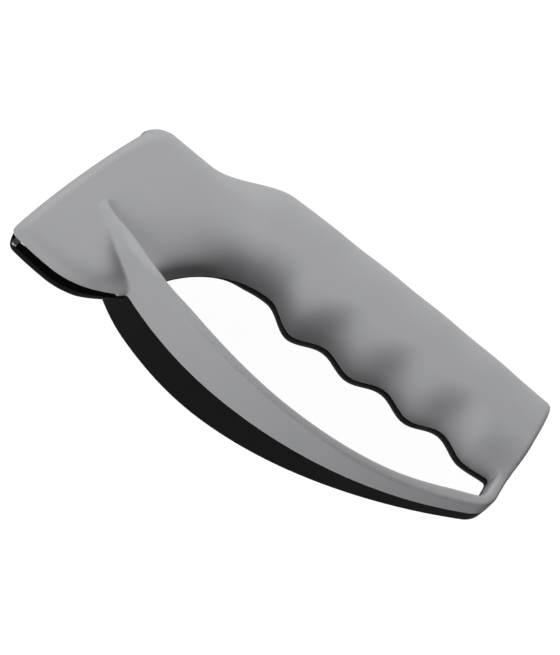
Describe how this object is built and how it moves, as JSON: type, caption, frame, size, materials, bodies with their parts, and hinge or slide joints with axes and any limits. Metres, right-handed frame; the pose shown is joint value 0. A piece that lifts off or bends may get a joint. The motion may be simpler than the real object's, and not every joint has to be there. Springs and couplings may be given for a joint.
{
  "type": "pull-through knife sharpener",
  "caption": "Hand-held pull-through sharpener: two moulded half shells with a finger guard, closed round a pair of crossed carbide cutters at the nose.",
  "frame": {"origin": "bottom of the V notch between the two cutters, where a knife's edge rests, on the joint plane of the shells", "axes": "+X along the blade that is pulled through, from the notch to the butt of the grip; +Y from the blade to the back of the grip; +Z out of the grey shell"},
  "size_m": [0.1487, 0.0693, 0.0354],
  "materials": {
    "grey_plastic": "mid grey moulded plastic with a fine matt texture",
    "black_plastic": "black moulded plastic, matt",
    "holder_plastic": "black moulded plastic, plain",
    "carbide": "ground tungsten carbide, dull silver",
    "steel": "zinc plated steel"
  },
  "bodies": {
    "root": {"grey_shell": "grey_plastic", "black_shell": "black_plastic", "cutter_holder": "holder_plastic", "front_cutter": "carbide", "rear_cutter": "carbide", "holder_pins": "steel", "shell_screws": "steel"}
  },
  "joints": []
}
